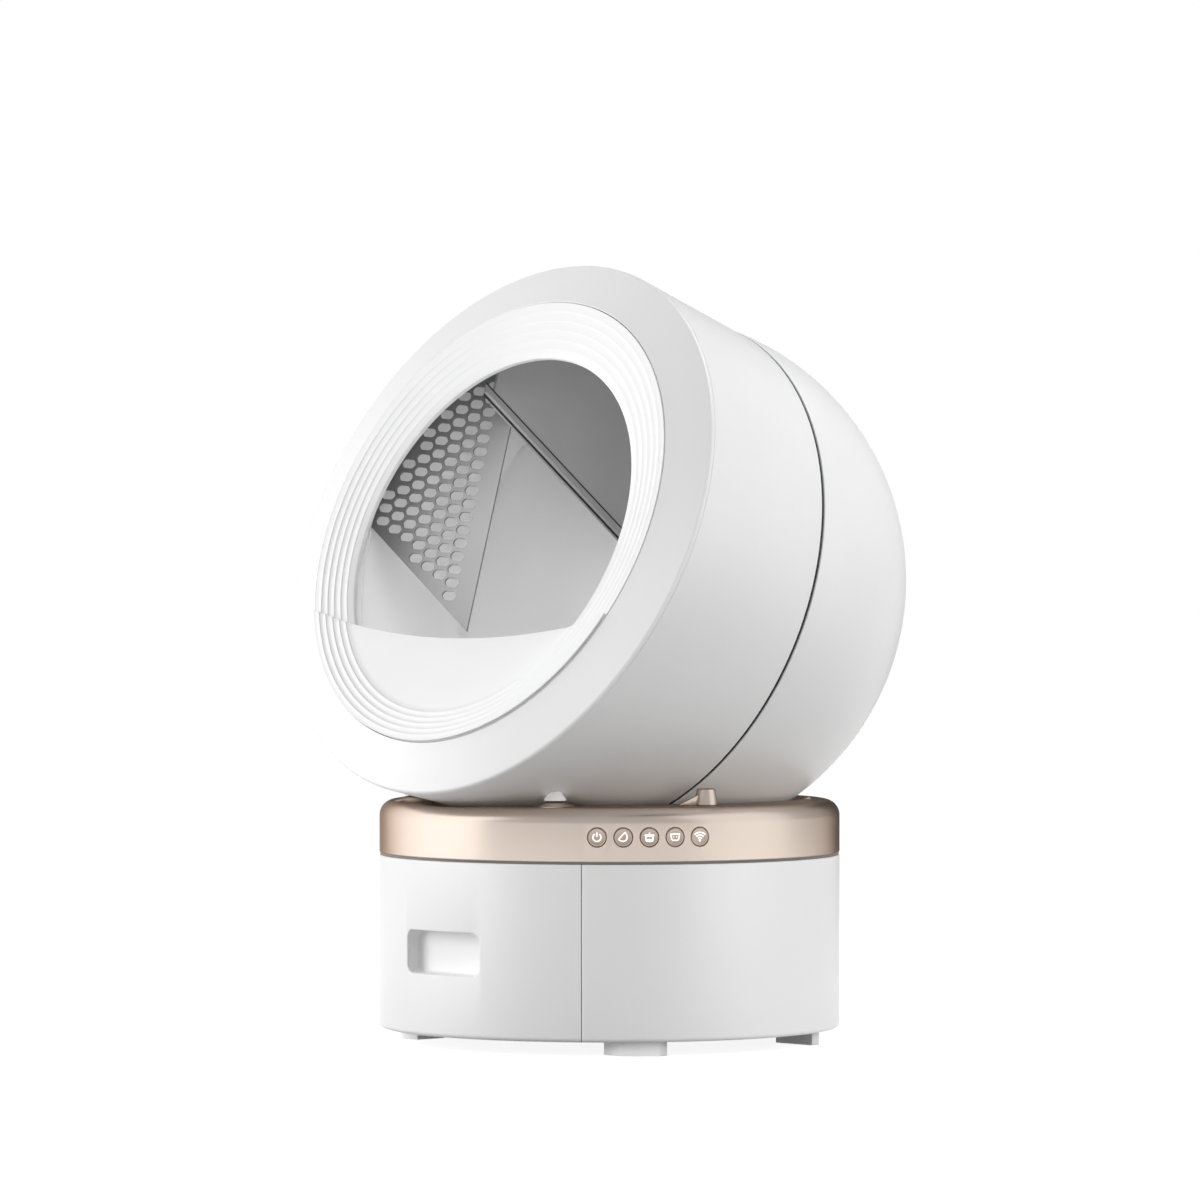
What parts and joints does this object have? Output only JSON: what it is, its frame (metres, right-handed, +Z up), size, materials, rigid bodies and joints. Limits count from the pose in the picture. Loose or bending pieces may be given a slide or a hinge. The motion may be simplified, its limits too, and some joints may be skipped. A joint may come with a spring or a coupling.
{
  "type": "self cleaning litter box",
  "caption": "Tilted rotating drum in a fixed hood with a ribbed round entry, on a round base with a waste drawer and push buttons.",
  "frame": {"origin": "on the floor, at the middle of the footprint of the whole object", "axes": "+Z up, the entry and the drawer face -Y, the buttons are towards +X"},
  "size_m": [0.5072, 0.5118, 0.6965],
  "materials": {
    "white_shell": "satin white plastic",
    "champagne": "champagne metallic paint",
    "pale_liner": "smooth pale grey",
    "dark_panel": "smooth dark grey",
    "grey_rubber": "matte",
    "black_plastic": "matte",
    "steel": "brushed",
    "green_board": "solder mask",
    "acetal": "moulded acetal"
  },
  "bodies": {
    "base": {"base_housing": "white_shell", "top_cover": "champagne", "chassis_plate": "black_plastic", "waste_chute": "grey_rubber", "control_board": "green_board", "button_carrier": "black_plastic", "power_inlet": "black_plastic", "front_hood": "white_shell", "rim_cap": "white_shell", "entry_ring": "white_shell", "top_tab": "white_shell", "gearbox": "black_plastic", "drive_motor": "steel", "drawer_rail_left": "acetal", "hood_foot_left": "white_shell", "guide_post_left": "champagne", "foot_front_left": "grey_rubber", "foot_rear_left": "grey_rubber", "rear_roller_pin_left": "steel", "rear_roller_yoke_left": "black_plastic", "front_roller_pin_left": "steel", "front_roller_yoke_left": "black_plastic", "drawer_rail_right": "acetal", "hood_foot_right": "white_shell", "guide_post_right": "champagne", "foot_front_right": "grey_rubber", "foot_rear_right": "grey_rubber", "rear_roller_pin_right": "steel", "rear_roller_yoke_right": "black_plastic", "front_roller_pin_right": "steel", "front_roller_yoke_right": "black_plastic"},
    "drum": {"rear_dome": "white_shell", "dome_liner": "pale_liner", "drum_barrel": "pale_liner", "ring_gear": "acetal", "divider_panel": "dark_panel", "sieve_plate": "dark_panel"},
    "shutter": {"port_shutter": "dark_panel"},
    "pinion": {"drive_pinion": "acetal"},
    "guard": {"entry_guard": "white_shell"},
    "drawer": {"drawer_front": "white_shell", "handle_cup": "white_shell", "drawer_tub": "pale_liner", "bag_ring": "dark_panel"},
    "rear_roller_left": {"rear_roller_left": "grey_rubber"},
    "rear_roller_right": {"rear_roller_right": "grey_rubber"},
    "front_roller_left": {"front_roller_left": "grey_rubber"},
    "front_roller_right": {"front_roller_right": "grey_rubber"},
    "button_power": {"button_power": "champagne"},
    "button_scoop": {"button_scoop": "champagne"},
    "button_empty": {"button_empty": "champagne"},
    "button_level": {"button_level": "champagne"},
    "button_link": {"button_link": "champagne"}
  },
  "joints": [
    {"name": "drum_turn", "type": "hinge", "parent": "base", "child": "drum", "pos_m": [0, 0.0157, 0.4141], "axis": [0, -0.9603, 0.279], "range_deg": [-45, 140]},
    {"name": "shutter_swing", "type": "hinge", "parent": "drum", "child": "shutter", "pos_m": [0, 0.0157, 0.4141], "axis": [0, -0.9603, 0.279], "range_deg": [-33, 0]},
    {"name": "pinion_spin", "type": "hinge", "parent": "base", "child": "pinion", "pos_m": [-0.08756, -0.05141, 0.18309], "axis": [0, -0.9603, 0.279], "continuous": true},
    {"name": "guard_lift", "type": "slide", "parent": "base", "child": "guard", "axis": [0, -0.9219, 0.3875], "range_m": [0, 0.06]},
    {"name": "drawer_slide", "type": "slide", "parent": "base", "child": "drawer", "axis": [0, -1, 0], "range_m": [0, 0.25]},
    {"name": "rear_roller_left_spin", "type": "hinge", "parent": "base", "child": "rear_roller_left", "pos_m": [-0.11608, 0.0971, 0.20431], "axis": [-0.294, -0.9346, -0.2], "continuous": true},
    {"name": "rear_roller_right_spin", "type": "hinge", "parent": "base", "child": "rear_roller_right", "pos_m": [0.11608, 0.0971, 0.20431], "axis": [0.294, -0.9346, -0.2], "continuous": true},
    {"name": "front_roller_left_spin", "type": "hinge", "parent": "base", "child": "front_roller_left", "pos_m": [-0.10784, -0.14651, 0.25003], "axis": [0, -0.9603, 0.279], "continuous": true},
    {"name": "front_roller_right_spin", "type": "hinge", "parent": "base", "child": "front_roller_right", "pos_m": [0.10784, -0.14651, 0.25003], "axis": [0, -0.9603, 0.279], "continuous": true},
    {"name": "power_press", "type": "slide", "parent": "base", "child": "button_power", "axis": [-0.6909, 0.723, 0], "range_m": [0, 0.001], "stiffness_N_per_m": 300},
    {"name": "scoop_press", "type": "slide", "parent": "base", "child": "button_scoop", "axis": [-0.7669, 0.6418, 0], "range_m": [0, 0.001], "stiffness_N_per_m": 300},
    {"name": "empty_press", "type": "slide", "parent": "base", "child": "button_empty", "axis": [-0.8334, 0.5527, 0], "range_m": [0, 0.001], "stiffness_N_per_m": 300},
    {"name": "level_press", "type": "slide", "parent": "base", "child": "button_level", "axis": [-0.8896, 0.4567, 0], "range_m": [0, 0.001], "stiffness_N_per_m": 300},
    {"name": "link_press", "type": "slide", "parent": "base", "child": "button_link", "axis": [-0.9348, 0.3551, 0], "range_m": [0, 0.001], "stiffness_N_per_m": 300}
  ],
  "couplings": [
    {"joint": "pinion_spin", "follows": "drum_turn", "ratio": -9},
    {"joint": "rear_roller_left_spin", "follows": "drum_turn", "ratio": -16.891},
    {"joint": "rear_roller_right_spin", "follows": "drum_turn", "ratio": -16.891},
    {"joint": "front_roller_left_spin", "follows": "drum_turn", "ratio": -31.757},
    {"joint": "front_roller_right_spin", "follows": "drum_turn", "ratio": -31.757}
  ]
}
